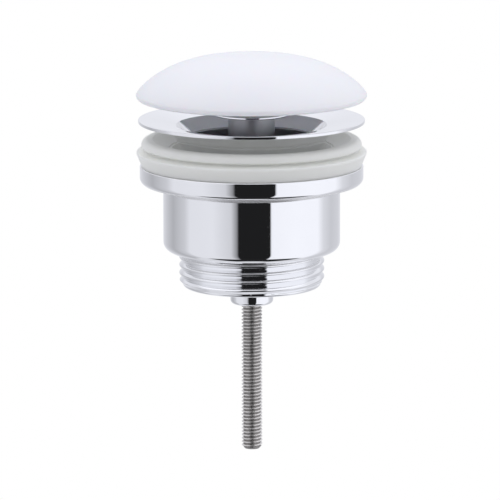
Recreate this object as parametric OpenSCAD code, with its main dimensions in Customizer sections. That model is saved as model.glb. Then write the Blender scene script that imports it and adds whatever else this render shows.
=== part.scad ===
// Free-flow basin waste with a ceramic cap, as it stands before it is fitted to a basin.
// Z is the throat's axis, and Z = 0 is the plane of the dish's flat underside.

/* [Ceramic cap] */
// Widest diameter of the cap
cap_d = 66.4; // [60:0.2:72]
// Rise of the dome above its widest ring
dome_h = 11.4; // [9:0.1:16]
// Height of the rounded edge below the widest ring
cap_edge_h = 1.5; // [1.2:0.1:2.6]
// Width of the cap's rim around its hollow underside
cap_rim_w = 4.6; // [3.5:0.1:6]
// Glaze and clay left between the hollow and the crown
crown_t = 6; // [4:0.5:7]
// How far the centre boss reaches below the rim
boss_drop = 2.6; // [1:0.1:3]
// Diameter of the centre boss
boss_d = 21; // [18:0.5:26]

/* [Cap fastening] */
// Outer diameter of the brass bush in the boss
cap_bush_d = 10; // [8.6:0.2:11.6]
// Length of the brass bush
cap_bush_l = 8; // [7.5:0.5:9]
// Thickness of the resin around the bush
bond_t = 0.55; // [0.3:0.05:0.8]
// Length of rod screwed into the bush
cap_engagement = 7.5; // [4:0.5:7.5]
// Thickness of the soft washer under the boss
cushion_t = 1; // [0.6:0.1:2]

/* [Pillar] */
// Diameter of the chrome disc on the pillar
plate_d = 21.5; // [19:0.5:26]
// Thickness of the disc
plate_t = 0.9; // [0.7:0.1:1.5]
// Height of the disc's underside above the dish's seat
plate_rise = 2.1; // [1.5:0.1:8]
// Outer diameter of the pillar
pillar_d = 13.4; // [11:0.2:16]
// Thickness of the slip washer under the pillar
slip_t = 0.8; // [0.5:0.1:1.5]

/* [Dish] */
// Outer diameter of the dish
dish_d = 65.2; // [60:0.2:72]
// Thickness of the dish's rim
rim_t = 0.9; // [0.9:0.1:2]
// Width of the flat land under the dish's rim
land_w = 1.4; // [0.8:0.1:2]
// Diameter of the mouth, where the dish's top falls into the throat
mouth_d = 43.4; // [41:0.2:46]
// Depth of the mouth's edge below the seat plane
mouth_depth = 0.7; // [0.4:0.1:1.5]
// Bore of the throat
throat_d = 36.8; // [33:0.2:37.6]
// Wall of the throat tube
throat_wall = 2; // [1.5:0.1:2.3]
// Depth of the throat tube below the seat plane
throat_l = 26; // [22:0.5:28]
// Depth of the hub's top below the seat plane
hub_depth = 14; // [10:0.5:15]
// Height of the hub
hub_h = 7; // [5:0.5:8]
// Diameter of the hub
hub_d = 15; // [14:0.5:20]
// Ribs in each spider
ribs = 3; // [3:1:4]
// Thickness of a rib
rib_t = 2.6; // [2:0.1:4]

/* [Threaded rod] */
// Nominal diameter of the rod
rod_d = 6; // [5.6:0.1:6.4]
// Pitch of the rod's thread
rod_pitch = 1; // [0.8:0.05:1.25]
// Length of the rod
rod_l = 110; // [90:1:130]
// Width of the nuts across their flats
nut_af = 10; // [9.6:0.1:10.6]
// Height of the thin nut above the disc
jam_nut_h = 3.2; // [2.5:0.1:3.6]
// Height of the locking nut under the hub
lock_nut_h = 6; // [5:0.2:6.4]
// Height of the locking nut's nylon insert
insert_h = 1.6; // [1:0.1:2]
// Thickness of the washer under the hub
hub_washer_t = 1.2; // [0.8:0.1:1.6]

/* [Seals] */
// Space between the seat plane and the upper seal
seal_space = 4.7; // [3:0.1:12]
// Height of the upper seal
upper_seal_h = 2.8; // [2.6:0.1:4.5]
// Outer diameter of the upper seal
upper_seal_d = 63.5; // [62:0.5:70]
// Rounding of the upper seal's top edge
seal_round = 1.8; // [0.8:0.1:2]
// Width of the flat land between that edge and the seal's conical mouth
seal_land_w = 1.4; // [1:0.1:3]
// Height of the lower seal
lower_seal_h = 5; // [4.6:0.1:7]
// Diameter of the lower seal's lip
lip_d = 66.2; // [65.4:0.2:70]

/* [Lower body] */
// Diameter of the flange
flange_d = 64.4; // [60:0.2:70]
// Thickness of the flange
flange_t = 5.2; // [4:0.1:7]
// Rounding of the flange's lower edge
flange_round = 1.8; // [0.6:0.1:2.4]
// Width of the bevel between the flange and the barrel
neck_bevel = 1.4; // [0.6:0.1:1.6]
// Diameter of the barrel
barrel_d = 51; // [48.6:0.2:54]
// Height of the barrel under the flange
barrel_h = 19.7; // [19:0.1:26]
// Rounding of the barrel's lower edge
barrel_round = 2.6; // [0.6:0.1:3.2]
// Wall of the barrel
barrel_wall = 2.3; // [1.6:0.1:2.6]
// Thickness of the barrel's floor
floor_t = 2.5; // [2:0.1:4]
// Major diameter of the outlet thread
outlet_d = 41.91; // [40.5:0.05:43]
// Pitch of the outlet thread
outlet_pitch = 2.309; // [2:0.01:2.5]
// Length of the threaded outlet
outlet_l = 10.3; // [9.6:0.1:14]
// Bore of the outlet
outlet_bore_d = 34.8; // [32:0.2:35.2]
// Diameter of the clamp bush's head
head_d = 12.4; // [12:0.2:15]
// Height of the clamp bush's head
head_h = 5.8; // [3:0.1:8]
// Diameter of the hub that holds the clamp bush
socket_d = 14.4; // [13.6:0.2:18]
// Diameter of the clamp bush's spigot
spigot_d = 9.6; // [8.8:0.2:10.2]
// Length of the clamp bush's spigot
spigot_l = 8.3; // [6:0.1:8.6]

/* [Hidden] */
$fn = 96;
// Radial clearance of the rod where it turns or travels in a bore
running = 0.1;
// Radial clearance between pieces that are fixed together
fixed = 0.05;
// Radial room between the seals and the throat, and around a nut in its pocket
room = 0.4;
// Least clay or metal kept beyond the end of a bore
least_end = 0.75;
// Broken edge of turned pieces
edge = 0.3;
// Wall left round the insert in the locking nut
insert_wall = 1;
// Shares of a pitch that the outlet's and the rod's threads are deep
outlet_depth_share = 0.64;
rod_depth_share = 0.55;
// Exponents of the dome: how full its crown is and how steeply it leaves its foot
dome_fullness = 2.7;
dome_foot = 0.81;
// Reach of a cutter past the face it opens
over = 1;
// Share of a pitch that is flat at a thread's root, at the outlet's crests and at the rod's
root_share = 0.18;
outlet_crest_share = 0.44;
rod_crest_share = 0.18;
// Slopes of the funnel inside the throat and of the skirt outside it
funnel_angle = 48;
skirt_angle = 60;

rod_r = rod_d / 2;
rod_bore_r = rod_r + running;
nut_bore_r = rod_r + fixed;
nut_corner_r = nut_af / 2 / cos(30);

cap_r = cap_d / 2;
plate_top = plate_rise + plate_t;
boss_z = plate_top + cushion_t;
rim_z = boss_z + boss_drop;
widest_z = rim_z + cap_edge_h;
apex_z = widest_z + dome_h;
ceiling_z = apex_z - crown_t;
bush_z = plate_top + jam_nut_h + room;
rod_top = bush_z + cap_engagement;
rod_bottom = rod_top - rod_l;
pocket_r = cap_bush_d / 2 + 2 * fixed + bond_t;
nut_pocket_r = max(nut_corner_r + room, pocket_r);

hub_top = -hub_depth;
hub_bottom = hub_top - hub_h;
pillar_z = hub_top + slip_t;
washer_z = hub_bottom - hub_washer_t;
lock_nut_z = washer_z - lock_nut_h;

dish_r = dish_d / 2;
mouth_r = mouth_d / 2;
throat_r = throat_d / 2;
tube_r = throat_r + throat_wall;
dish_slope = (rim_t + mouth_depth) / (dish_r - rim_t / 2 - mouth_r);
land_r = dish_r - rim_t / 2 - land_w;
funnel_depth = mouth_depth + (mouth_r - throat_r) * tan(funnel_angle);
skirt_depth = funnel_depth + throat_wall + least_end;
skirt_lean = 1 / tan(skirt_angle);
skirt_z = -dish_slope * (land_r - tube_r - skirt_depth * skirt_lean) / (1 - dish_slope * skirt_lean);
skirt_r = land_r + skirt_z / dish_slope;

upper_seal_top = -seal_space;
lower_seal_top = upper_seal_top - upper_seal_h;
flange_top = lower_seal_top - lower_seal_h;
upper_seal_r = upper_seal_d / 2;
seal_mouth_r = upper_seal_r - seal_round - seal_land_w;
// Depth of the upper seal's top when the body is screwed up until it all but meets the dish
raised_depth = (land_r - seal_mouth_r) * dish_slope + edge;
raised_waist = skirt_depth - raised_depth - upper_seal_h;
wiper_r = tube_r + room;
wiper_depth = max(raised_waist, edge);
seal_waist_r = wiper_r + wiper_depth * skirt_lean;

flange_r = flange_d / 2;
barrel_r = barrel_d / 2;
barrel_top = flange_top - flange_t;
barrel_bottom = barrel_top - barrel_h;
chamber_r = barrel_r - barrel_wall;
chamber_z = barrel_bottom + floor_t;
outlet_end = barrel_bottom - outlet_l;
outlet_bore_r = outlet_bore_d / 2;
outlet_r = outlet_d / 2;
outlet_root_r = outlet_r - outlet_depth_share * outlet_pitch;
rod_root_r = rod_r - rod_depth_share * rod_pitch;
end_chamfer = 0.8;
half_crest = (1 - root_share) / 2;
outlet_crests = 1 + floor((outlet_l - end_chamfer - 2 * half_crest * outlet_pitch) / outlet_pitch);
rod_crests = 1 + floor((rod_l - 2 * end_chamfer - 2 * half_crest * rod_pitch) / rod_pitch);

socket_r = socket_d / 2;
spigot_r = spigot_d / 2;
face_inset = 0.5;
bush_face = outlet_end + face_inset;
socket_top = bush_face + spigot_l + least_end;

CERAMIC = [0.93, 0.94, 0.98];
CHROME = [0.80, 0.81, 0.86];
STEEL = [0.62, 0.60, 0.57];
BRASS = [0.80, 0.66, 0.36];
SILICONE = [0.78, 0.80, 0.78];
SOFT_WHITE = [0.90, 0.90, 0.88];
RESIN = [0.86, 0.80, 0.62];

// Points of an arc about [x, y], in equal steps of its angle
function arc(x, y, r, from, to, steps = 6) =
    [for (i = [0:steps]) [
        x + r * cos(from + (to - from) * i / steps),
        y + r * sin(from + (to - from) * i / steps)
    ]];

// Points of a flattened dome from just above its foot to its crown
function dome(r, h, z, steps) =
    [for (i = [1:steps])
        let (x = r * (1 - pow(i / steps, 2)))
        [x, z + h * pow(1 - pow(x / r, dome_fullness), dome_foot)]];

// Points of a run of ring-shaped crests with flat tops, upwards from z
function crests(count, pitch, root_r, crest_r, flat, z) =
    [for (i = [0:count - 1], p = [
        [root_r, 0], [crest_r, half_crest - flat / 2],
        [crest_r, half_crest + flat / 2], [root_r, 2 * half_crest]
    ]) [p.x, z + (i + p.y) * pitch]];

// A turned ring with its outer edges broken
module ring(outer_r, bore_r, z, h) {
    rotate_extrude()
        polygon([
            [bore_r, z], [outer_r - edge, z], [outer_r, z + edge],
            [outer_r, z + h - edge], [outer_r - edge, z + h], [bore_r, z + h]
        ]);
}

// A cutter that opens both ends of a bore
module through_bore(r, z, h) {
    translate([0, 0, z - over])
        cylinder(h = h + 2 * over, r = r);
}

// Ribs between a hub and the wall around it, rooted in both
module spider(inner_r, outer_r, z, h) {
    for (i = [0:ribs - 1])
        rotate([0, 0, 90 + i * 360 / ribs])
            translate([inner_r - edge, -rib_t / 2, z])
                cube([outer_r + edge - inner_r + edge, rib_t, h]);
}

// A hexagon nut with its corners turned off above and below
module hex_nut(z, h) {
    turned = nut_corner_r - nut_af / 2;
    difference() {
        intersection() {
            translate([0, 0, z])
                cylinder(h = h, r = nut_corner_r, $fn = 6);
            rotate_extrude()
                polygon([
                    [0, z], [nut_af / 2, z], [nut_corner_r, z + turned],
                    [nut_corner_r, z + h - turned], [nut_af / 2, z + h], [0, z + h]
                ]);
        }
        through_bore(nut_bore_r, z, h);
    }
}

// Glazed dome, hollow underneath, with a boss in its middle
module ceramic_cap() {
    hollow_r = cap_r - cap_rim_w;
    color(CERAMIC)
    difference() {
        union() {
            difference() {
                rotate_extrude()
                    polygon(concat(
                        [[0, rim_z]],
                        arc(cap_r - cap_edge_h, widest_z, cap_edge_h, -90, 0),
                        dome(cap_r, dome_h, widest_z, 20)
                    ));
                rotate_extrude()
                    polygon(concat(
                        [[0, rim_z - over], [hollow_r, rim_z - over], [hollow_r, rim_z]],
                        dome(hollow_r, ceiling_z - rim_z, rim_z, 12)
                    ));
            }
            translate([0, 0, boss_z])
                cylinder(h = ceiling_z - boss_z + over, r = boss_d / 2);
        }
        translate([0, 0, boss_z - over])
            cylinder(h = bush_z - boss_z + over, r = nut_pocket_r);
        translate([0, 0, boss_z - over])
            cylinder(h = bush_z + cap_bush_l - boss_z + over, r = pocket_r);
    }
}

// Threaded brass bush that takes the rod's top end
module cap_bush() {
    color(BRASS)
        ring(cap_bush_d / 2, rod_bore_r, bush_z, cap_bush_l - edge);
}

// Hardened resin that holds the bush in the boss
module cap_bond() {
    color(RESIN)
    rotate_extrude()
        translate([cap_bush_d / 2 + fixed, bush_z])
            square([bond_t, cap_bush_l - edge]);
}

// Soft washer between the boss and the chrome disc
module cap_cushion() {
    color(SOFT_WHITE)
        ring(boss_d / 2 - edge, nut_pocket_r, plate_top, cushion_t);
}

// Chrome disc that carries the cap
module cap_plate() {
    color(CHROME)
        ring(plate_d / 2, nut_bore_r, plate_rise, plate_t);
}

// Thin nut that locks the disc and the pillar on the rod
module jam_nut() {
    color(STEEL)
        hex_nut(plate_top, jam_nut_h);
}

// Chrome sleeve around the rod, from the hub up to the disc
module pillar() {
    color(CHROME)
        ring(pillar_d / 2, rod_bore_r, pillar_z, plate_rise - pillar_z);
}

// Washer on which the pillar turns
module slip_washer() {
    color(SOFT_WHITE)
        ring(pillar_d / 2, rod_bore_r, hub_top, slip_t);
}

// Dish, throat tube and spider in one casting
module dish() {
    rib_h = hub_h - least_end;
    color(CHROME)
    difference() {
        union() {
            rotate_extrude()
                polygon(concat(
                    [[throat_r, -throat_l], [tube_r, -throat_l], [tube_r, -skirt_depth]],
                    [[skirt_r, skirt_z], [land_r, 0]],
                    arc(dish_r - rim_t / 2, rim_t / 2, rim_t / 2, -90, 90),
                    [[mouth_r, -mouth_depth], [throat_r, -funnel_depth]]
                ));
            translate([0, 0, hub_bottom])
                cylinder(h = hub_h, r = hub_d / 2);
            spider(hub_d / 2, throat_r, hub_bottom, rib_h);
        }
        through_bore(rod_bore_r, hub_bottom, hub_h);
    }
}

// Steel washer under the hub
module hub_washer() {
    color(STEEL)
        ring(nut_corner_r, rod_bore_r, washer_z, hub_washer_t);
}

// Locking nut that keeps the rod from rising, with a recess for its insert
module lock_nut() {
    color(STEEL)
    difference() {
        hex_nut(lock_nut_z, lock_nut_h);
        translate([0, 0, lock_nut_z - over])
            cylinder(h = insert_h + over, r = nut_af / 2 - insert_wall);
    }
}

// Nylon insert that grips the rod inside the locking nut
module lock_insert() {
    color(SOFT_WHITE)
    rotate_extrude()
        translate([nut_bore_r, lock_nut_z + fixed])
            square([nut_af / 2 - insert_wall - fixed - nut_bore_r, insert_h - fixed]);
}

// Steel rod, threaded all along and chamfered at both ends
module threaded_rod() {
    first = (rod_l - (rod_crests - 1 + 2 * half_crest) * rod_pitch) / 2;
    color(STEEL)
    rotate_extrude()
        polygon(concat(
            [[0, rod_bottom], [rod_root_r, rod_bottom]],
            crests(rod_crests, rod_pitch, rod_root_r, rod_r, rod_crest_share, rod_bottom + first),
            [[rod_root_r, rod_top], [0, rod_top]]
        ));
}

// Seal between the dish and the basin's bowl, with a conical bore
module upper_seal() {
    foot_in = 1;
    foot_h = 0.6;
    color(SILICONE)
    rotate_extrude()
        polygon(concat(
            [[seal_waist_r, lower_seal_top], [upper_seal_r - foot_in, lower_seal_top]],
            [[upper_seal_r, lower_seal_top + foot_h]],
            arc(upper_seal_r - seal_round, upper_seal_top - seal_round, seal_round, 0, 90),
            [[seal_mouth_r, upper_seal_top]]
        ));
}

// Seal between the basin's underside and the flange, with a lip round its top
module lower_seal() {
    lip_r = lip_d / 2;
    lip_drop = 0.8;
    lip_z = lower_seal_top - lip_drop;
    lip_h = 0.6;
    lip_w = 2;
    color(SILICONE)
    rotate_extrude()
        polygon([
            [wiper_r, flange_top], [flange_r - 2 * edge, flange_top],
            [lip_r, lip_z - lip_h], [lip_r, lip_z], [lip_r - lip_w, lip_z + edge],
            [lip_r - lip_w - edge, lower_seal_top], [seal_waist_r, lower_seal_top],
            [wiper_r, lower_seal_top - wiper_depth]
        ]);
}

// Flange, barrel and threaded outlet in one casting, with a spider and its hub
module lower_body() {
    rib_h = spigot_l - least_end;
    color(CHROME)
    difference() {
        union() {
            rotate_extrude()
                polygon(concat(
                    [[chamber_r, flange_top], [chamber_r, chamber_z]],
                    [[outlet_bore_r, chamber_z], [outlet_bore_r, outlet_end]],
                    [[outlet_root_r, outlet_end]],
                    crests(
                        outlet_crests, outlet_pitch, outlet_root_r, outlet_r,
                        outlet_crest_share, outlet_end + end_chamfer
                    ),
                    [[outlet_root_r, barrel_bottom]],
                    arc(barrel_r - barrel_round, barrel_bottom + barrel_round, barrel_round, -90, 0),
                    [[barrel_r, barrel_top - neck_bevel], [barrel_r + neck_bevel, barrel_top]],
                    arc(flange_r - flange_round, barrel_top + flange_round, flange_round, -90, 0),
                    [[flange_r, flange_top - edge], [flange_r - edge, flange_top]]
                ));
            translate([0, 0, bush_face])
                cylinder(h = socket_top - bush_face, r = socket_r);
            spider(socket_r, outlet_bore_r, bush_face, rib_h);
        }
        through_bore(spigot_r + fixed, bush_face, socket_top - bush_face);
    }
}

// Threaded bush in the lower hub, with a head that pulls the body up
module clamp_bush() {
    head_r = head_d / 2;
    head_round = 1.2;
    color(CHROME)
    rotate_extrude()
        polygon(concat(
            [[rod_bore_r, bush_face - head_h]],
            arc(head_r - head_round, bush_face - head_h + head_round, head_round, -90, 0),
            [[head_r, bush_face], [spigot_r, bush_face]],
            [[spigot_r, bush_face + spigot_l - edge], [spigot_r - edge, bush_face + spigot_l]],
            [[rod_bore_r, bush_face + spigot_l]]
        ));
}

ceramic_cap();
cap_bush();
cap_bond();
cap_cushion();
cap_plate();
jam_nut();
pillar();
slip_washer();
dish();
hub_washer();
lock_nut();
lock_insert();
threaded_rod();
upper_seal();
lower_seal();
lower_body();
clamp_bush();
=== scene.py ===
import math

import bmesh
import bpy
import numpy as np
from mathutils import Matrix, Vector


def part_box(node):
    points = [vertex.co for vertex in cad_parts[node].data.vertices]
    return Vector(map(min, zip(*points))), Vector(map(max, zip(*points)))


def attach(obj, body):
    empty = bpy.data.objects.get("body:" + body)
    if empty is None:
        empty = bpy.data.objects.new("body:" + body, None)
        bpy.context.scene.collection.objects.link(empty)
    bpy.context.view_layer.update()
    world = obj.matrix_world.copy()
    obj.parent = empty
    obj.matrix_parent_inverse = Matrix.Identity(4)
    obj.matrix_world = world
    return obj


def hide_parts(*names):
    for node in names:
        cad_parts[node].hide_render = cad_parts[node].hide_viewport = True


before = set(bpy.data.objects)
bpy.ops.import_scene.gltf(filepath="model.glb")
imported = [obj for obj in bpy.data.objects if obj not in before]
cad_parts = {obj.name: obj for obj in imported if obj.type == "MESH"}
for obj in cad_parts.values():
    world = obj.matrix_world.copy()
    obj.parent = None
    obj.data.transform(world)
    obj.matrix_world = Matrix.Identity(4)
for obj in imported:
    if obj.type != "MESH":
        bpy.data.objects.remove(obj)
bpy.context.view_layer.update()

# Threaded rod: M6 stainless steel, its thread rolled from end to end and its ends chamfered.
# The cap is screwed onto its top, and the lower body climbs it from below.
MM = 0.001  # Sizes are in millimetres, except the floor's and the camera's, which are in metres.
ROD_PITCH = 1.0
ROD_THREAD_DEPTH = 0.55
ROD_CREST = 0.16
ROD_FLANK = 0.31
ROD_SHADOW = 0.45
ROD_END_R = 2.1
ROD_END_SLOPE = 0.95
ROD_AROUND = 48
ROD_STEPS = 12
WELD = 0.0001
SHARP_FROM = 35


def extent(node):
    """Outer radius, lowest level and highest level of a node of the frame, in millimetres."""
    low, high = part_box(node)
    return high.x / MM, low.z / MM, high.z / MM


def skin(x, y, z):
    """Points and faces of a surface given on a grid of rows by columns, in millimetres."""
    rows, columns = x.shape
    points = np.stack([x, y, z], axis=-1).reshape(-1, 3)
    spot = np.arange(rows * columns).reshape(rows, columns)
    faces = np.stack([spot[:-1, :-1], spot[:-1, 1:], spot[1:, 1:], spot[1:, :-1]], axis=-1)
    return points, faces.reshape(-1, 4)


def turned(outline, around):
    """A turned surface: each (radius, height) point of the outline stands at (r cos a, r sin a, z)
    for equal steps of the angle a, and the last column of points lies on the first."""
    radius, height = np.array(outline, float).T[:, :, None]
    angle = np.linspace(0, 2 * np.pi, around + 1)
    return skin(radius * np.cos(angle), radius * np.sin(angle), height + 0 * angle)


def threaded(low, high, pitch, form, around, steps):
    """The skin of a right-hand thread. Its rows climb with the angle a, at the height
    low + pitch (row / steps - 1 + a / 2 pi), so that each row keeps one share of the pitch. The form
    gives the radius from that share and the height. Rows past an end are pressed onto it, and merge
    there."""
    angle = np.linspace(0, 2 * np.pi, around + 1)
    turns = math.ceil((high - low) / pitch) + 1
    row = np.arange(turns * steps + 1)[:, None]
    height = np.clip(low + pitch * (row / steps - 1 + angle / (2 * np.pi)), low, high)
    radius = form(row / steps % 1, height)
    return skin(radius * np.cos(angle), radius * np.sin(angle), height)


def solid(name, *skins):
    """One mesh object from skins that meet point on point. Doubles are merged, normals point
    outwards, and edges sharper than 35 degrees stay sharp."""
    starts = np.cumsum([0] + [len(points) for points, faces in skins[:-1]])
    points = np.concatenate([points for points, faces in skins]) * MM
    faces = np.concatenate([faces + start for (_, faces), start in zip(skins, starts)])
    mesh = bpy.data.meshes.new(name)
    mesh.from_pydata(points.tolist(), [], faces.tolist())
    welded = bmesh.new()
    welded.from_mesh(mesh)
    bmesh.ops.remove_doubles(welded, verts=welded.verts, dist=WELD * MM)
    bmesh.ops.recalc_face_normals(welded, faces=welded.faces)
    welded.to_mesh(mesh)
    welded.free()
    mesh.shade_smooth()
    mesh.set_sharp_from_angle(angle=math.radians(SHARP_FROM))
    made = bpy.data.objects.new(name, mesh)
    bpy.context.scene.collection.objects.link(made)
    return made


def finish(name, **sockets):
    """A new material: uniform values go straight onto the Principled shader's own sockets."""
    material = bpy.data.materials.new(name)
    material.use_nodes = True
    shader = material.node_tree.nodes["Principled BSDF"]
    for socket, value in sockets.items():
        shader.inputs[socket.replace("_", " ")].default_value = value
    return material


def add(material, kind, *feeds, **settings):
    """A new node. A setting that names an input sets it and any other sets the node itself;
    a feed is (output, input's name or number)."""
    tree = material.node_tree
    made = tree.nodes.new("ShaderNode" + kind)
    for name, value in settings.items():
        if name in made.inputs:
            made.inputs[name].default_value = value
        else:
            setattr(made, name, value)
    for output, socket in feeds:
        tree.links.new(output, made.inputs[socket])
    return made


def grain(material, scale, stretch=(1, 1, 1), detail=3):
    """Noise on the piece's own coordinates, finer along an axis where stretch is larger."""
    place = add(material, "TexCoord").outputs["Object"]
    squeezed = add(material, "Mapping", (place, "Vector"), Scale=stretch).outputs["Vector"]
    return add(material, "TexNoise", (squeezed, "Vector"), Scale=scale, Detail=detail).outputs["Fac"]


def from_axis(material, inner, outer):
    """0 at the inner radius and nearer the axis, 1 at the outer radius and beyond, both in metres."""
    place = add(material, "TexCoord").outputs["Object"]
    flat = add(material, "VectorMath", (place, 0), operation="MULTIPLY")
    flat.inputs[1].default_value = (1, 1, 0)
    radius = add(material, "VectorMath", (flat.outputs["Vector"], 0), operation="LENGTH")
    share = add(material, "MapRange", (radius.outputs["Value"], "Value"), interpolation_type="SMOOTHSTEP")
    share.inputs["From Min"].default_value = inner
    share.inputs["From Max"].default_value = outer
    return share.outputs["Result"]


def spread(material, value, low, high, start=0.3, end=0.7):
    """value between start and end, spread over low to high. Noise mostly lies between 0.3 and 0.7."""
    made = add(material, "MapRange", (value, "Value"))
    made.inputs["From Min"].default_value = start
    made.inputs["From Max"].default_value = end
    made.inputs["To Min"].default_value = low
    made.inputs["To Max"].default_value = high
    return made.outputs["Result"]


def blended(material, share, first, second):
    """Colour between first and second; each is a colour or the output of a node."""
    mix = add(material, "Mix", (share, 0), data_type="RGBA")
    for socket, colour in ((6, first), (7, second)):
        if isinstance(colour, tuple):
            mix.inputs[socket].default_value = (*colour, 1)
        else:
            material.node_tree.links.new(colour, mix.inputs[socket])
    return mix.outputs[2]


def relief(material, height, depth, strength):
    """A bump of the given depth in metres. The strength, from 0 to 1, is how much of it shows."""
    return add(material, "Bump", (height, "Height"), Distance=depth, Strength=strength).outputs["Normal"]


def give(material, **outputs):
    """Wires outputs into the Principled shader's sockets."""
    shader = material.node_tree.nodes["Principled BSDF"]
    for socket, output in outputs.items():
        material.node_tree.links.new(output, shader.inputs[socket.replace("_", " ")])


def dress(piece, node, body, material):
    """The piece stands for a node of the frame, rides on its body and wears the material."""
    piece.data.materials.append(material)
    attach(piece, body)
    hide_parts(node)


rod_r, rod_low, rod_high = extent("threaded_rod")
rod_root_r = rod_r - ROD_THREAD_DEPTH


def groove(share, crest, flat, flank):
    """Depth of a thread's groove from 0 to 1, falling evenly either side of the crest: the crest is
    flat for one share of the pitch and each flank takes another."""
    away = abs((share - crest + 0.5) % 1 - 0.5)
    return np.clip((away - flat / 2) / flank, 0, 1)


def rod_form(share, z):
    """Rolled thread, with a cone that chamfers both ends of the rod."""
    end_cone = ROD_END_R + ROD_END_SLOPE * np.minimum(z - rod_low, rod_high - z)
    return np.minimum(rod_r - ROD_THREAD_DEPTH * groove(share, 0.5, ROD_CREST, ROD_FLANK), end_cone)


rolled_steel = finish("rolled stainless steel", Metallic=1.0)
root_shadow = from_axis(rolled_steel, rod_root_r * MM, (rod_root_r + ROD_SHADOW) * MM)
steel_cloud = grain(rolled_steel, 900, (1, 1, 0.5))
flanks = blended(rolled_steel, steel_cloud, (0.82, 0.80, 0.77), (0.97, 0.95, 0.93))
give(
    rolled_steel,
    Base_Color=blended(rolled_steel, root_shadow, (0.37, 0.36, 0.345), flanks),
    Roughness=spread(rolled_steel, steel_cloud, 0.32, 0.48),
    Normal=relief(rolled_steel, grain(rolled_steel, 6000, (0.3, 0.3, 2)), 0.00002, 0.6),
)
rod = solid(
    "rolled_rod",
    threaded(rod_low, rod_high, ROD_PITCH, rod_form, ROD_AROUND, ROD_STEPS),
    turned([(0, rod_low), (ROD_END_R, rod_low)], ROD_AROUND),
    turned([(ROD_END_R, rod_high), (0, rod_high)], ROD_AROUND),
)
dress(rod, "threaded_rod", "spindle", rolled_steel)

# Dish: a brass casting with the throat tube and a three-armed spider in one piece, turned inside
# and out and chrome plated. Its shallow funnel carries the water under the cap into the throat.
DISH_RIM_T = 0.9
DISH_LAND_W = 1.4
MOUTH_R = 21.7
MOUTH_Z = -0.7
THROAT_R = 18.4
THROAT_TOP = -4.365
TUBE_R = 20.4
SKIRT_R = 23.9
SKIRT_TOP = -1.05
SKIRT_LOW = -7.115
HUB_R = 7.5
HUB_LOW = -21.0
HUB_HIGH = -14.0
ARM_T = 2.6
ARM_DROP = 0.75
ARM_ANGLES = (90, 210, 330)
BORE_R = 3.1
EDGE = 0.3
FINE_EDGE = 0.2
TUBE_END_ROUND = 0.4
SKIRT_ROUND = 0.8
UNDERSIDE_ROUND = 1.2
RIM_TOP_ROUND = 0.18
MOUTH_ROUND = 0.12
THROAT_ROUND = 0.8
HUB_ROUND = 0.5
ARM_SUNK = 0.4
PLATE_FADE = (0.1, 0.3)


def eased(corners, hold=0.1, steps=9):
    """(radius, height) points of an outline from (radius, height, rounding) corners. A rounded
    corner gives way to the arc that touches both its edges: its centre lies on their bisector,
    rounding / sin(half their angle) away. A further point along each edge, as far from the arc as
    hold times the rounding, keeps the flat beside it flat in its shading."""
    spots = [np.array(corner[:2], float) for corner in corners]
    runs = []
    for i, corner in enumerate(corners):
        here = spots[i]
        if len(corner) < 3:
            runs.append(here[None])
            continue
        rounding = corner[2]
        back = spots[i - 1] - here
        ahead = spots[(i + 1) % len(spots)] - here
        back = back / np.hypot(*back)
        ahead = ahead / np.hypot(*ahead)
        half = math.acos(back @ ahead) / 2
        reach = rounding / math.tan(half)
        bisector = (back + ahead) / np.hypot(*(back + ahead))
        centre = here + bisector * rounding / math.sin(half)
        first = here + back * reach - centre
        last = here + ahead * reach - centre
        sweep = math.atan2(first[0] * last[1] - first[1] * last[0], first @ last)
        angle = math.atan2(first[1], first[0]) + sweep * np.linspace(0, 1, steps)
        arc = centre + rounding * np.column_stack([np.cos(angle), np.sin(angle)])
        before = centre + first + back * hold * rounding
        after = centre + last + ahead * hold * rounding
        runs.append(np.vstack([before, arc, after]))
    return np.vstack(runs)


def ring(corners, around):
    """A turned ring from a closed outline of (radius, height, rounding) corners."""
    outline = eased(corners)
    return turned(np.vstack([outline, outline[:1]]), around)


def arm(angle, inner_r, outer_r, low, high, thick, flare=0.9, steps=21, around=48):
    """An arm of a spider. Its section is a rounded oblong, |x|^4 + |y|^4 = 1 scaled to thickness by
    height, carried from inner_r to outer_r; it widens by the flare towards both ends as the fourth
    power of the distance from the middle. The end sections shrink to points inside the walls."""
    along = np.concatenate([[0], np.linspace(0, 1, steps), [1]])[:, None]
    swell = np.concatenate([[0], np.ones(steps), [0]])[:, None]
    turn = np.linspace(0, 2 * np.pi, around + 1)
    across = np.sign(np.cos(turn)) * abs(np.cos(turn)) ** 0.5
    upward = np.sign(np.sin(turn)) * abs(np.sin(turn)) ** 0.5
    half_t = (thick / 2 + flare * (2 * along - 1) ** 4) * swell
    radius = inner_r + (outer_r - inner_r) * along + 0 * turn
    side = half_t * across
    height = (low + high) / 2 + (high - low) / 2 * upward * swell
    a = math.radians(angle)
    x = radius * math.cos(a) - side * math.sin(a)
    y = radius * math.sin(a) + side * math.cos(a)
    return skin(x, y, height)


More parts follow.
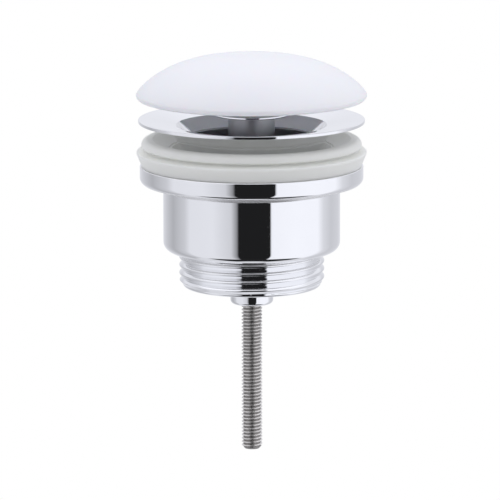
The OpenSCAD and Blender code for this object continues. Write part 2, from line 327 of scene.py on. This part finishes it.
def chrome_plate(name, polished=None, satin=None):
    """Chrome plate, a little cloudy. Where the share that polished works out for it falls to 0, the casting
    wasn't polished: the plate has little gloss there, and its colour is painted dark grey as shade. Where the
    share of satin rises to 1, the polishing wheel didn't reach into a corner: the plate has a satin finish
    there, and its colour is painted a little brighter against its shade."""
    plate = finish(name, Metallic=1.0)
    cloud = grain(plate, 160)
    colour = blended(plate, cloud, (0.925, 0.93, 0.945), (0.95, 0.955, 0.965))
    gloss = spread(plate, grain(plate, 420, (1, 1, 2)), 0.025, 0.055)
    if polished:
        share = polished(plate)
        dull_and_shaded = grain(plate, 900)
        # Painted shade: inside the hole the plate's colour is darkened to grey.
        colour = blended(plate, share, blended(plate, dull_and_shaded, (0.37, 0.37, 0.39), (0.41, 0.41, 0.43)), colour)
        gloss = blended(plate, share, spread(plate, dull_and_shaded, 0.28, 0.34), gloss)
    if satin:
        matt_and_brightened = satin(plate)
        # Painted light: in the corner the colour is raised a little, against its shade.
        colour = blended(plate, matt_and_brightened, colour, (0.98, 0.98, 0.98))
        gloss = blended(plate, matt_and_brightened, gloss, spread(plate, grain(plate, 500), 0.42, 0.5))
    give(plate, Base_Color=colour, Roughness=gloss, Normal=relief(plate, cloud, 0.00001, 0.25))
    return plate


def outside(plate, radius):
    """1 outside the radius of a hole, and 0 in it, with a short fade in the wall."""
    return from_axis(plate, (radius + PLATE_FADE[0]) * MM, (radius + PLATE_FADE[1]) * MM)


def outside_throat(plate):
    """1 on the funnel, rim, skirt and tube, and 0 in the throat and on the spider."""
    return outside(plate, THROAT_R)


dish_r, dish_low = extent("dish")[:2]
dish = solid(
    "chrome_dish",
    ring([
        (THROAT_R, dish_low, EDGE), (TUBE_R, dish_low, TUBE_END_ROUND),
        (TUBE_R, SKIRT_LOW, SKIRT_ROUND), (SKIRT_R, SKIRT_TOP, UNDERSIDE_ROUND),
        (dish_r - DISH_RIM_T / 2 - DISH_LAND_W, 0, EDGE), (dish_r, 0, FINE_EDGE),
        (dish_r, DISH_RIM_T, RIM_TOP_ROUND), (dish_r - DISH_RIM_T / 2, DISH_RIM_T),
        (MOUTH_R, MOUTH_Z, MOUTH_ROUND), (THROAT_R, THROAT_TOP, THROAT_ROUND),
    ], around=320),
    ring([
        (BORE_R, HUB_LOW, FINE_EDGE), (HUB_R, HUB_LOW, HUB_ROUND),
        (HUB_R, HUB_HIGH, HUB_ROUND), (BORE_R, HUB_HIGH, FINE_EDGE),
    ], around=96),
    *[
        arm(angle, HUB_R - ARM_SUNK, THROAT_R + ARM_SUNK, HUB_LOW, HUB_HIGH - ARM_DROP, ARM_T)
        for angle in ARM_ANGLES
    ],
)
# Painted shade: in the throat and on the spider the plate is coloured dark grey.
dress(dish, "dish", "dish", chrome_plate("chrome plate of the dish", outside_throat))

# Hub washer and locking nut: turned and cut from stainless bar. They hold the rod down in the hub,
# and the nut's nylon insert keeps it from working loose.
NUT_BORE_R = 3.05
NUT_SINK = 0.25
NUT_FACE = 0.985
NUT_CHAMFER = 30
LOCK_FLATS = 10.0
LOCK_RECESS_R = 4.0
LOCK_RECESS_H = 1.6


def nut(flats, low, high, recess_r=0, recess_h=0, steps=41, around=96):
    """A hexagon nut. At the angle a its side stands at half the flats / cos(a to the nearest flat),
    and at each end a 30 degree cone takes the corners off, whichever is nearer the axis. The bore is
    countersunk, and the foot has a recess where one is given."""
    angle = np.linspace(0, 2 * np.pi, around + 1)
    side = flats / 2 / np.cos((angle + np.pi / 6) % (np.pi / 3) - np.pi / 6)
    height = np.linspace(low, high, steps)[:, None]
    end_r = flats / 2 * NUT_FACE
    cone = end_r + np.minimum(height - low, high - height) / math.tan(math.radians(NUT_CHAMFER))
    radius = np.minimum(side, cone)
    wall = skin(radius * np.cos(angle), radius * np.sin(angle), height + 0 * angle)
    sunk_r = NUT_BORE_R + NUT_SINK
    if recess_r:
        foot = low + recess_h
        face = [(NUT_BORE_R, foot), (recess_r, foot), (recess_r, low), (end_r, low)]
    else:
        foot = low + NUT_SINK
        face = [(sunk_r, low), (end_r, low)]
    bore = [(end_r, high), (sunk_r, high), (NUT_BORE_R, high - NUT_SINK), (NUT_BORE_R, foot), face[0]]
    return wall, turned(face, around), turned(bore, around)


def washer(node, bore_r, edge=0.15):
    """A flat ring as large as its node, its four edges eased."""
    outer_r, low, high = extent(node)
    corners = [(bore_r, low, edge), (outer_r, low, edge), (outer_r, high, edge), (bore_r, high, edge)]
    return ring(corners, around=128)


bar_steel = finish("turned stainless bar", Metallic=1.0)
lathe_marks = grain(bar_steel, 2500, (0.1, 0.1, 1), 1)
give(
    bar_steel,
    Base_Color=blended(bar_steel, grain(bar_steel, 500), (0.55, 0.54, 0.52), (0.70, 0.69, 0.67)),
    Roughness=spread(bar_steel, lathe_marks, 0.2, 0.34),
    Normal=relief(bar_steel, lathe_marks, 0.00002, 0.4),
)
dress(solid("pressed_washer", washer("hub_washer", BORE_R)), "hub_washer", "spindle", bar_steel)

lock_low, lock_high = extent("lock_nut")[1:]
lock_nut = solid("locking_nut", *nut(LOCK_FLATS, lock_low, lock_high, LOCK_RECESS_R, LOCK_RECESS_H))
dress(lock_nut, "lock_nut", "spindle", bar_steel)

nylon = finish("natural nylon", Roughness=0.42, Subsurface_Weight=0.3, Subsurface_Scale=0.001)
give(
    nylon,
    Base_Color=blended(nylon, grain(nylon, 700), (0.78, 0.77, 0.72), (0.86, 0.85, 0.80)),
    Normal=relief(nylon, grain(nylon, 4000), 0.00002, 0.3),
)
dress(solid("nylon_insert", washer("lock_insert", NUT_BORE_R)), "lock_insert", "spindle", nylon)

# Slip washer and pillar: the chromed brass sleeve stands on a nylon washer on the hub, so that it
# turns with the cap and the rod while the dish stays still.
PILLAR_FOOT_ROUND = 0.35
PILLAR_TOP_ROUND = 0.6
PILLAR_BORE_ROUND = 0.15
dress(solid("nylon_washer", washer("slip_washer", BORE_R)), "slip_washer", "spindle", nylon)

satin_plate = finish("satin chrome plate", Metallic=1.0)
turning_marks = grain(satin_plate, 2500, (0.02, 0.02, 1), 1)
give(
    satin_plate,
    Base_Color=blended(satin_plate, grain(satin_plate, 150), (0.53, 0.53, 0.55), (0.59, 0.59, 0.61)),
    Roughness=spread(satin_plate, turning_marks, 0.32, 0.4),
    Normal=relief(satin_plate, turning_marks, 0.000004, 0.2),
)
pillar_r, pillar_low, pillar_high = extent("pillar")
pillar = solid("chrome_pillar", ring([
    (BORE_R, pillar_low, PILLAR_BORE_ROUND), (pillar_r, pillar_low, PILLAR_FOOT_ROUND),
    (pillar_r, pillar_high, PILLAR_TOP_ROUND), (BORE_R, pillar_high, PILLAR_BORE_ROUND),
], around=192))
dress(pillar, "pillar", "spindle", satin_plate)

# Disc and thin nut: the chromed brass disc carries the cap, and the nut locks it down on the
# pillar inside the pocket of the cap's boss.
DISC_TOP_ROUND = 0.35
DISC_BORE_ROUND = 0.1
chrome = chrome_plate("polished chrome plate")
plate_r, plate_low, plate_high = extent("cap_plate")
plate = solid("chrome_disc", ring([
    (NUT_BORE_R, plate_low, DISC_BORE_ROUND), (plate_r, plate_low, EDGE),
    (plate_r, plate_high, DISC_TOP_ROUND), (NUT_BORE_R, plate_high, DISC_BORE_ROUND),
], around=192))
dress(plate, "cap_plate", "spindle", chrome)

jam_low, jam_high = extent("jam_nut")[1:]
dress(solid("thin_nut", *nut(LOCK_FLATS, jam_low, jam_high)), "jam_nut", "spindle", bar_steel)

# Cushion: a soft white washer between the disc and the fired clay, so that the cap can be screwed
# down tight without cracking.
POCKET_R = 6.17
soft_washer = finish("soft white washer", Roughness=0.7, Subsurface_Weight=0.4, Subsurface_Scale=0.001)
give(
    soft_washer,
    Base_Color=blended(soft_washer, grain(soft_washer, 900), (0.76, 0.76, 0.74), (0.84, 0.84, 0.82)),
    Normal=relief(soft_washer, grain(soft_washer, 5000), 0.00003, 0.5),
)
cushion = solid("soft_cushion", washer("cap_cushion", POCKET_R, edge=EDGE))
dress(cushion, "cap_cushion", "cushion", soft_washer)

# Brass bush and its resin: the threaded bush is potted in the boss with resin, because fired clay
# takes no thread.
bush_brass = finish("turned brass", Metallic=1.0)
brass_marks = grain(bush_brass, 2500, (0.1, 0.1, 1), 1)
give(
    bush_brass,
    Base_Color=blended(bush_brass, grain(bush_brass, 400), (0.70, 0.55, 0.26), (0.84, 0.69, 0.38)),
    Roughness=spread(bush_brass, brass_marks, 0.22, 0.38),
    Normal=relief(bush_brass, brass_marks, 0.00003, 0.5),
)
dress(solid("brass_bush", washer("cap_bush", BORE_R, edge=0.25)), "cap_bush", "cap", bush_brass)

RESIN_R = 5.05
hard_resin = finish("hardened resin", Roughness=0.25, Subsurface_Weight=0.5, Subsurface_Scale=0.001)
give(
    hard_resin,
    Base_Color=blended(hard_resin, grain(hard_resin, 1500), (0.62, 0.52, 0.30), (0.80, 0.72, 0.50)),
    Normal=relief(hard_resin, grain(hard_resin, 2500), 0.00005, 0.5),
)
dress(solid("resin_sleeve", washer("cap_bond", RESIN_R, edge=0.1)), "cap_bond", "cap", hard_resin)

# Cap: fired clay under a thick white glaze. Its crown is a flattened dome, its edge is rolled
# under, and the face of the boss in its hollow is bare of glaze, where it stood in the kiln.
WIDEST_Z = 8.1
RIM_Z = 6.6
EDGE_H = WIDEST_Z - RIM_Z
HOLLOW_R = 28.6
CEILING_Z = 13.5
BOSS_R = 10.5
SOCKET_R = 5.65
SOCKET_TOP = 14.6
POCKET_TOP = 6.6
FULLNESS = 2.7
FOOT = 0.81
CEILING_SAG = 0.55
OUTER_SAG = 0.75
POCKET_ROUND = 0.4
BOSS_ROUND = 0.8
BOSS_FILLET = 1.2
FILLET_W = 2
HOLLOW_ROUND = 0.5
BARE_H = 0.2
BARE_FADE = 0.15
CLAY_ROUGHNESS = (0.8, 0.8, 0.8)


def dome(foot_r, foot_z, height, steps):
    """Outline of a flattened dome, from its foot to its crown, at the height
    foot_z + height (1 - (r / foot_r)^2.7)^0.81."""
    radius = foot_r * (1 - np.linspace(0, 1, steps) ** 2)
    return np.column_stack([radius, foot_z + height * (1 - (radius / foot_r) ** FULLNESS) ** FOOT])


def level(material):
    """Height on the piece's own coordinates, in metres."""
    place = add(material, "TexCoord").outputs["Object"]
    return add(material, "SeparateXYZ", (place, "Vector")).outputs["Z"]


cap_r, boss_low, apex_z = extent("ceramic_cap")
edge_turn = np.linspace(-90, 0, 13)[:, None]
rolled_edge = np.hstack([
    cap_r - EDGE_H + EDGE_H * np.cos(np.radians(edge_turn)),
    WIDEST_Z + EDGE_H * np.sin(np.radians(edge_turn)),
])
crown = dome(cap_r, WIDEST_Z, apex_z - WIDEST_Z, steps=49)[1:]
boss = eased([
    (0, SOCKET_TOP), (SOCKET_R, SOCKET_TOP, EDGE), (SOCKET_R, POCKET_TOP, FINE_EDGE),
    (POCKET_R, POCKET_TOP, FINE_EDGE), (POCKET_R, boss_low, POCKET_ROUND), (BOSS_R, boss_low, BOSS_ROUND),
    (BOSS_R, CEILING_Z - CEILING_SAG, BOSS_FILLET), (HOLLOW_R / 2, CEILING_Z - OUTER_SAG),
])[:-1]
ceiling = dome(HOLLOW_R, RIM_Z, CEILING_Z - RIM_Z, steps=33)[::-1]
ceiling = ceiling[ceiling[:, 0] > BOSS_R + FILLET_W]
rim_foot = eased([tuple(ceiling[-2]), (HOLLOW_R, RIM_Z, HOLLOW_ROUND), (cap_r - EDGE_H, RIM_Z)])[1:-1]
cap_outline = np.vstack([boss, ceiling[:-1], rim_foot, rolled_edge, crown])
cap = solid("glazed_cap", turned(cap_outline, around=320))
glaze = finish(
    "white glaze", Coat_Weight=0.25, Coat_Roughness=0.12, Subsurface_Weight=0.15, Subsurface_Scale=0.0015
)
bare = spread(glaze, level(glaze), 1, 0, (boss_low + BARE_H) * MM, (boss_low + BARE_H + BARE_FADE) * MM)
white = blended(glaze, grain(glaze, 60), (0.965, 0.97, 0.99), (0.975, 0.98, 0.995))
clay = blended(glaze, grain(glaze, 900), (0.66, 0.60, 0.52), (0.74, 0.68, 0.60))
give(
    glaze,
    Base_Color=blended(glaze, bare, white, clay),
    Roughness=blended(glaze, bare, spread(glaze, grain(glaze, 60), 0.29, 0.34), CLAY_ROUGHNESS),
    Normal=relief(glaze, grain(glaze, 70, detail=0), 0.00001, 0.1),
)
dress(cap, "ceramic_cap", "cap", glaze)

# Upper seal: a ring moulded from translucent silicone. Its conical mouth takes the underside of
# the dish, and its flat foot presses on the bowl of the basin.
SEAL_ROUND = 1.8
SEAL_MOUTH_R = 28.55
SEAL_WAIST_R = 22.92
FOOT_IN = 1.0
FOOT_H = 0.6
MOULD_EDGE = 0.25
# Painted light: a faint white emission of 0.05 makes the silicone glow. It stands in for light carried
# through the translucent rubber.
silicone = finish(
    "translucent silicone", Subsurface_Weight=0.8, Subsurface_Scale=0.0025, IOR=1.41,
    Emission_Color=(1, 1, 1, 1), Emission_Strength=0.05,
)
silicone.node_tree.nodes["Principled BSDF"].inputs["Subsurface Radius"].default_value = (1.0, 1.0, 0.95)
give(
    silicone,
    Base_Color=blended(silicone, grain(silicone, 120), (0.76, 0.765, 0.725), (0.79, 0.795, 0.755)),
    Roughness=spread(silicone, grain(silicone, 500), 0.3, 0.42),
    Normal=relief(silicone, grain(silicone, 1500), 0.00002, 0.5),
)
upper_r, upper_low, upper_high = extent("upper_seal")
upper_seal = solid("moulded_upper_seal", ring([
    (SEAL_WAIST_R, upper_low, FINE_EDGE), (upper_r - FOOT_IN, upper_low, FINE_EDGE),
    (upper_r, upper_low + FOOT_H, EDGE), (upper_r, upper_high, SEAL_ROUND),
    (SEAL_MOUTH_R, upper_high, MOULD_EDGE),
], around=288))
dress(upper_seal, "upper_seal", "body", silicone)

# Lower seal: the deeper silicone ring under the basin. Its lip spreads against the underside, and
# its bore narrows to a wiper round the throat tube.
LIP_DROP = 0.8
LIP_H = 0.6
LIP_W = 2.0
WIPER_R = 20.8
WIPER_DEPTH = 3.68
WIPER_ROUND = 0.4
SEAL_BASE_R = 31.6
LIP_CROWN = 0.3
LIP_FILLET = 0.5
lower_r, lower_low, lower_high = extent("lower_seal")
lip_z = lower_high - LIP_DROP
lower_seal = solid("moulded_lower_seal", ring([
    (WIPER_R, lower_low, EDGE), (SEAL_BASE_R, lower_low, EDGE),
    (lower_r, lip_z - LIP_H, MOULD_EDGE), (lower_r, lip_z, MOULD_EDGE),
    (lower_r - LIP_W, lip_z + LIP_CROWN, LIP_FILLET), (lower_r - LIP_W - LIP_CROWN, lower_high),
    (SEAL_WAIST_R, lower_high, FINE_EDGE), (WIPER_R, lower_high - WIPER_DEPTH, WIPER_ROUND),
], around=288))
dress(lower_seal, "lower_seal", "body", silicone)

# Lower body: flange, barrel and spider cast in one piece of brass, turned, threaded for the trap's nut and
# chrome plated. Inside, the plate is painted dark grey as shade.
FLANGE_LOW = -17.7
FLANGE_ROUND = 1.8
NECK_BEVEL = 1.5
BARREL_R = 25.5
BARREL_LOW = -37.2
BARREL_ROUND = 2.6
CHAMBER_R = 23.2
CHAMBER_Z = -34.9
CHAMBER_ROUND = 2.0
CHAMBER_MOUTH_ROUND = 0.4
SHOULDER_ROUND = 1.0
OUTLET_BORE_ROUND = 0.5
OUTLET_BORE_R = 17.4
OUTLET_R = 20.955
OUTLET_PITCH = 2.309
OUTLET_DEPTH = 1.0
OUTLET_CREST = 0.08
OUTLET_FLANK = 0.45
OUTLET_BLUNT = 1.25
CREST_FRONT = -43.2
LIP_R = 19.95
LIP_ROUND = 0.9
LIP_SLOPE = 0.95
RUN_OUT = 0.5
SPIDER_HUB_R = 7.2
SPIDER_HUB_LOW = -47.2
SPIDER_HUB_HIGH = -38.15
SPIDER_ARM_HIGH = -39.65
SPIGOT_R = 4.8
SPIDER_FOOT_ROUND = 0.4
WALL_FADE = 0.5
NECK_REACH = (0.45, 0.75)
NECK_FADE = (0, 0.1)
FACE_REACH = (0.05, 0.15)
FACE_FADE = (-0.1, -0.05)


def outlet_form(share, z):
    """A thread buffed blunt, whose grooves run out against the barrel. At the end a cone falls to a
    lip with a rounded edge."""
    crest = ((CREST_FRONT - body_low) / OUTLET_PITCH + 0.25) % 1
    thread = OUTLET_R - OUTLET_DEPTH * groove(share, crest, OUTLET_CREST, OUTLET_FLANK) ** OUTLET_BLUNT
    shallow = np.maximum(thread, OUTLET_R - (BARREL_LOW - z) * RUN_OUT)
    rise = z - body_low
    rounding = LIP_ROUND - np.minimum(rise, LIP_ROUND)
    lip = LIP_R - LIP_ROUND + np.sqrt(LIP_ROUND ** 2 - rounding ** 2)
    return np.minimum(shallow, lip + np.maximum(rise - LIP_ROUND, 0) * LIP_SLOPE)


flange_r, body_low, flange_top = extent("lower_body")
shell = eased([
    (OUTLET_R, BARREL_LOW), (BARREL_R, BARREL_LOW, BARREL_ROUND),
    (BARREL_R, FLANGE_LOW - NECK_BEVEL, EDGE), (BARREL_R + NECK_BEVEL, FLANGE_LOW, EDGE),
    (flange_r, FLANGE_LOW, FLANGE_ROUND), (flange_r, flange_top, EDGE),
    (CHAMBER_R, flange_top, CHAMBER_MOUTH_ROUND), (CHAMBER_R, CHAMBER_Z, CHAMBER_ROUND),
    (OUTLET_BORE_R, CHAMBER_Z, SHOULDER_ROUND), (OUTLET_BORE_R, body_low, OUTLET_BORE_ROUND),
    (LIP_R - LIP_ROUND, body_low),
])


def outside_chamber(plate):
    """1 on the flange, barrel and thread, and 0 in the chamber, in the outlet's bore and on the spider."""
    in_barrel = spread(plate, level(plate), 0, 1, BARREL_LOW * MM, (BARREL_LOW + WALL_FADE) * MM)
    return blended(plate, in_barrel, outside(plate, OUTLET_BORE_R), outside(plate, CHAMBER_R))


def belt(plate, foot, foot_fade, top, top_fade):
    """1 between two heights and 0 beyond both. Each fade gives where it starts and ends, from its
    own height, in millimetres."""
    height = level(plate)
    above = spread(plate, height, 0, 1, (foot + foot_fade[0]) * MM, (foot + foot_fade[1]) * MM)
    below = spread(plate, height, 1, 0, (top + top_fade[0]) * MM, (top + top_fade[1]) * MM)
    return add(plate, "Math", (below, 0), (above, 1), operation="MULTIPLY").outputs[0]


def past_the_wheel_brightened(plate):
    """1 in the corner under the flange and on the barrel's lower face, which a polishing wheel doesn't reach,
    and 0 on all the rest. There the plate gets a satin finish and is painted a little brighter, against its
    shade."""
    corner = belt(plate, FLANGE_LOW - NECK_BEVEL, NECK_FADE, FLANGE_LOW, NECK_REACH)
    lower_face = belt(plate, BARREL_LOW, FACE_FADE, BARREL_LOW, FACE_REACH)
    return add(plate, "Math", (corner, 0), (lower_face, 1), operation="ADD").outputs[0]


spider_in = SPIDER_HUB_R - ARM_SUNK
spider_out = OUTLET_BORE_R + ARM_SUNK
lower_body = solid(
    "threaded_lower_body",
    turned(shell, around=320),
    threaded(body_low, BARREL_LOW, OUTLET_PITCH, outlet_form, around=320, steps=24),
    ring([
        (SPIGOT_R, SPIDER_HUB_LOW, FINE_EDGE), (SPIDER_HUB_R, SPIDER_HUB_LOW, SPIDER_FOOT_ROUND),
        (SPIDER_HUB_R, SPIDER_HUB_HIGH, HUB_ROUND), (SPIGOT_R, SPIDER_HUB_HIGH, FINE_EDGE),
    ], around=96),
    *[
        arm(angle, spider_in, spider_out, SPIDER_HUB_LOW, SPIDER_ARM_HIGH, ARM_T)
        for angle in ARM_ANGLES
    ],
)
# Painted shade: dark grey in the chamber, the outlet's bore and on the spider. Painted light: a little
# brighter under the flange and on the barrel's lower face.
body_plate = chrome_plate("chrome plate of the body", outside_chamber, past_the_wheel_brightened)
dress(lower_body, "lower_body", "body", body_plate)

# Clamp bush: turned brass, chrome plated. It sits in the lower hub, and its thread on the rod
# draws the body up against the basin.
BUSH_HEAD_ROUND = 1.2
head_r, bush_low, bush_high = extent("clamp_bush")
clamp_bush = solid("chrome_clamp_bush", ring([
    (BORE_R, bush_low, EDGE), (head_r, bush_low, BUSH_HEAD_ROUND), (head_r, SPIDER_HUB_LOW, FINE_EDGE),
    (SPIGOT_R, SPIDER_HUB_LOW), (SPIGOT_R, bush_high, EDGE), (BORE_R, bush_high, FINE_EDGE),
], around=128))
dress(clamp_bush, "clamp_bush", "body", chrome)

# Studio: white panels either side of the camera with a dark gap between them, dark underfoot,
# soft white overhead and a lavender grey room behind, as the polished chrome mirrors them. The
# camera sees plain white, straight or through what is clear.
WALL_TONES = (
    (-180, 0.88), (-150, 0.66), (-124, 0.48), (-98, 0.65), (-88, 0.83), (-52, 0.85), (-27, 0.69),
    (-19, 0.27), (-17, 0.014), (24.5, 0.014), (25.5, 0.99), (60, 1.03), (96, 1.02), (108, 0.76),
    (126, 0.64), (152, 0.70), (180, 0.88),
)
WALL_TINT = (0.93, 0.94, 1.0)
LINTEL_TONES = (
    (-180, 0.95), (-150, 0.85), (-124, 0.8), (-98, 0.85), (-80, 1.0), (-19, 1.0), (-17, 0.014),
    (22, 0.014), (25, 1.0), (90, 1.0), (108, 0.9), (126, 0.85), (152, 0.9), (180, 0.95),
)
UNDERFOOT_TONES = ((-180, 0.76), (-86, 0.76), (-74, 0.02), (90, 0.02), (102, 0.76), (180, 0.76))
OVERHEAD = (1.07, 1.075, 1.15)
NADIR = (0.80, 0.81, 0.86)
NADIR_EDGE = (-83, -79)
UNDERFOOT_EDGE = (-54, -49)
LINTEL_EDGE = (11, 19)
OVERHEAD_EDGE = (38, 44)

world = bpy.data.worlds.new("studio")
world.use_nodes = True
bpy.context.scene.world = world
heading = add(world, "TexCoord").outputs["Generated"]
parts = add(world, "SeparateXYZ", (heading, "Vector"))
toward_camera = add(world, "Math", (parts.outputs["Y"], 0), operation="MULTIPLY")
toward_camera.inputs[1].default_value = -1
azimuth = add(world, "Math", (parts.outputs["X"], 0), (toward_camera.outputs[0], 1), operation="ARCTAN2")
elevation = add(world, "Math", (parts.outputs["Z"], 0), operation="ARCSINE").outputs[0]


def panorama(tones):
    """Colour all round the room, from (azimuth in degrees, tone) stops. Azimuth 0 is the camera's
    side, and the tones take the tint of the walls."""
    ramp = add(world, "ValToRGB", (spread(world, azimuth.outputs[0], 0, 1, -math.pi, math.pi), "Fac"))
    stops = ramp.color_ramp.elements
    while len(stops) < len(tones):
        stops.new(0.5)
    for stop, (degrees, tone) in zip(stops, tones):
        stop.position = (degrees + 180) / 360
        stop.color = (*(tone * tint for tint in WALL_TINT), 1)
    return ramp.outputs["Color"]


def over(edge):
    """0 below an edge of the room and 1 above it. The edge is the two elevations, in degrees,
    between which one zone fades into the next."""
    return spread(world, elevation, 0, 1, math.radians(edge[0]), math.radians(edge[1]))


underfoot = blended(world, over(NADIR_EDGE), NADIR, panorama(UNDERFOOT_TONES))
lower_room = blended(world, over(UNDERFOOT_EDGE), underfoot, panorama(WALL_TONES))
upper_room = blended(world, over(OVERHEAD_EDGE), panorama(LINTEL_TONES), OVERHEAD)
room = blended(world, over(LINTEL_EDGE), lower_room, upper_room)
lit = add(world, "Background", (room, "Color"), Strength=1.0)
seen = add(world, "Background", Color=(1, 1, 1, 1), Strength=1.0)
path = add(world, "LightPath").outputs
direct = add(world, "Math", (path["Is Camera Ray"], 0), (path["Is Transmission Ray"], 1), operation="MAXIMUM")
mixed = add(world, "MixShader", (direct.outputs[0], 0), (lit.outputs[0], 1), (seen.outputs[0], 2))
world.node_tree.links.new(mixed.outputs[0], world.node_tree.nodes["World Output"].inputs["Surface"])

# Floor: a plain pale sheet well below the part, which hangs clear of it as in the photograph. The
# camera sees it fade to white outwards. Mirrored, or from below, it doesn't show.
FLOOR_Z = -0.30
FLOOR_R = 0.8
FLOOR_SIDES = 96
FADE_START = 0.25
FADE_END = 0.7
floor_mesh = bpy.data.meshes.new("floor")
floor_turn = np.linspace(0, 2 * np.pi, FLOOR_SIDES, endpoint=False)
floor_edge = (FLOOR_R * np.cos(floor_turn), FLOOR_R * np.sin(floor_turn), FLOOR_Z + 0 * floor_turn)
floor_mesh.from_pydata(np.column_stack(floor_edge).tolist(), [], [list(range(FLOOR_SIDES))])
floor = bpy.data.objects.new("floor", floor_mesh)
bpy.context.scene.collection.objects.link(floor)
pale = finish("pale floor", Roughness=0.8, Base_Color=(0.86, 0.86, 0.87, 1))
surface = pale.node_tree.nodes["Principled BSDF"].outputs[0]
glow = add(pale, "Emission", Color=(1, 1, 1, 1), Strength=1.0)
clear = add(pale, "BsdfTransparent")
camera_ray = add(pale, "LightPath").outputs["Is Camera Ray"]
outwards = from_axis(pale, FADE_START, FADE_END)
fade = add(pale, "Math", (outwards, 0), (camera_ray, 1), operation="MULTIPLY")
above = add(pale, "MixShader", (fade.outputs[0], 0), (surface, 1), (glow.outputs[0], 2))
from_below = add(pale, "NewGeometry").outputs["Backfacing"]
sheet = add(pale, "MixShader", (from_below, 0), (above.outputs[0], 1), (clear.outputs[0], 2))
pale.node_tree.links.new(sheet.outputs[0], pale.node_tree.nodes["Material Output"].inputs["Surface"])
floor_mesh.materials.append(pale)
floor.visible_glossy = False

# Camera: a long lens a little above the part, so far back that its near and far sides look nearly
# the same size. It leans by a tenth of a degree, to stand the part as the photograph shows it.
LENS = 349
DISTANCE = 1.4
ELEVATION = 10.5
LEAN = -0.1
AIM = (-0.0005, 0, -0.0374)
camera = bpy.data.objects.new("camera", bpy.data.cameras.new("camera"))
bpy.context.scene.collection.objects.link(camera)
bpy.context.scene.camera = camera
camera.data.lens = LENS
camera.data.clip_start = 0.1
camera.data.clip_end = 20
tilt = math.radians(90 - ELEVATION)
camera.location = (AIM[0], AIM[1] - DISTANCE * math.sin(tilt), AIM[2] + DISTANCE * math.cos(tilt))
camera.rotation_mode = "ZXY"
camera.rotation_euler = (tilt, 0, 0)
camera.rotation_euler.rotate_axis("Z", math.radians(LEAN))
bpy.context.scene.view_settings.view_transform = "Standard"
